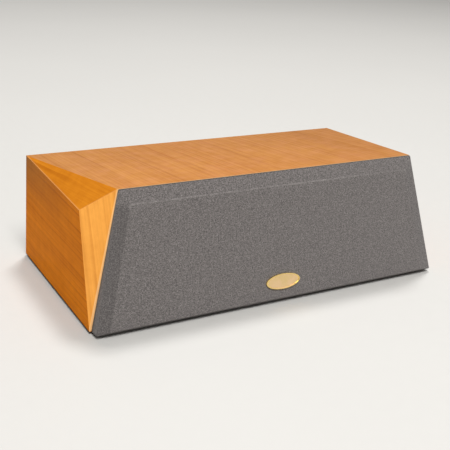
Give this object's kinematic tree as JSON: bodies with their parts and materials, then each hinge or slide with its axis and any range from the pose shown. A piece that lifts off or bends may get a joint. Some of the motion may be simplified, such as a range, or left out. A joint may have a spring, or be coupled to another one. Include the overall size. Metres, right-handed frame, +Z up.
{
  "type": "center channel speaker",
  "caption": "Wide wooden center channel speaker with a leaning front, faceted front corners, a pull-off cloth grille with a raised field and an oval badge, and rear binding posts.",
  "frame": {"origin": "middle of the bounding box, on the surface that the speaker stands on", "axes": "+X along the width to the speaker's right side as seen from the front, -Y towards the listener, +Z up"},
  "size_m": [0.61, 0.3292, 0.2015],
  "materials": {
    "cherry_veneer": "satin lacquer",
    "black_board": "matte paint",
    "grille_cloth": "plain weave",
    "gold_badge": "polished",
    "black_plastic": "moulded",
    "foot_rubber": "matte",
    "black_steel": "powder coat",
    "surround_rubber": "matte",
    "spider_cloth": "resin soaked",
    "motor_steel": "plain",
    "cone_sheet": "satin",
    "cap_sheet": "satin",
    "strip_board": "plain",
    "dome_cloth": "coated",
    "red_plastic": "moulded",
    "cap_plastic": "moulded",
    "circuit_board": "solder mask",
    "white_plastic": "plain",
    "copper_winding": "enamelled",
    "yellow_film": "plain",
    "lead_sleeve": "plain"
  },
  "bodies": {
    "cabinet": {"top_panel": "cherry_veneer", "bottom_panel": "cherry_veneer", "left_side_panel": "cherry_veneer", "right_side_panel": "cherry_veneer", "left_top_facet": "cherry_veneer", "right_top_facet": "cherry_veneer", "left_front_facet": "cherry_veneer", "right_front_facet": "cherry_veneer", "front_baffle": "black_board", "back_panel": "black_board", "rubber_feet": "foot_rubber", "woofer_baskets": "black_steel", "woofer_surrounds": "surround_rubber", "woofer_spiders": "spider_cloth", "woofer_motors": "motor_steel", "woofer_terminals": "strip_board", "tweeter_faceplate": "black_plastic", "tweeter_diaphragm": "dome_cloth", "tweeter_motor": "motor_steel", "terminal_cup": "black_plastic", "red_post": "red_plastic", "black_post": "cap_plastic", "crossover_board": "circuit_board", "board_spacers": "white_plastic", "crossover_inductors": "copper_winding", "crossover_capacitors": "yellow_film", "crossover_resistors": "white_plastic", "internal_leads": "lead_sleeve"},
    "grille": {"grille_frame": "black_board", "grille_cloth": "grille_cloth", "grille_badge": "gold_badge", "grille_pegs": "black_plastic"},
    "left_cone_body": {"left_cone": "cone_sheet", "left_dust_cap": "cap_sheet"},
    "right_cone_body": {"right_cone": "cone_sheet", "right_dust_cap": "cap_sheet"},
    "red_cap": {"red_post_cap": "red_plastic"},
    "black_cap": {"black_post_cap": "cap_plastic"}
  },
  "joints": [
    {"name": "grille_pull", "type": "slide", "parent": "cabinet", "child": "grille", "axis": [0, -0.9955, 0.095], "range_m": [0, 0.06]},
    {"name": "left_cone_travel", "type": "slide", "parent": "cabinet", "child": "left_cone_body", "axis": [0, -0.9955, 0.095], "range_m": [-0.004, 0.004], "stiffness_N_per_m": 1200, "deforming": ["woofer_surrounds", "woofer_spiders"]},
    {"name": "right_cone_travel", "type": "slide", "parent": "cabinet", "child": "right_cone_body", "axis": [0, -0.9955, 0.095], "range_m": [-0.004, 0.004], "stiffness_N_per_m": 1200, "deforming": ["woofer_surrounds", "woofer_spiders"]},
    {"name": "red_cap_turn", "type": "hinge", "parent": "cabinet", "child": "red_cap", "pos_m": [0.0095, 0.147, 0.091], "axis": [0, 1, 0], "range_deg": [0, 720]},
    {"name": "black_cap_turn", "type": "hinge", "parent": "cabinet", "child": "black_cap", "pos_m": [-0.0095, 0.147, 0.091], "axis": [0, 1, 0], "range_deg": [0, 720]}
  ]
}
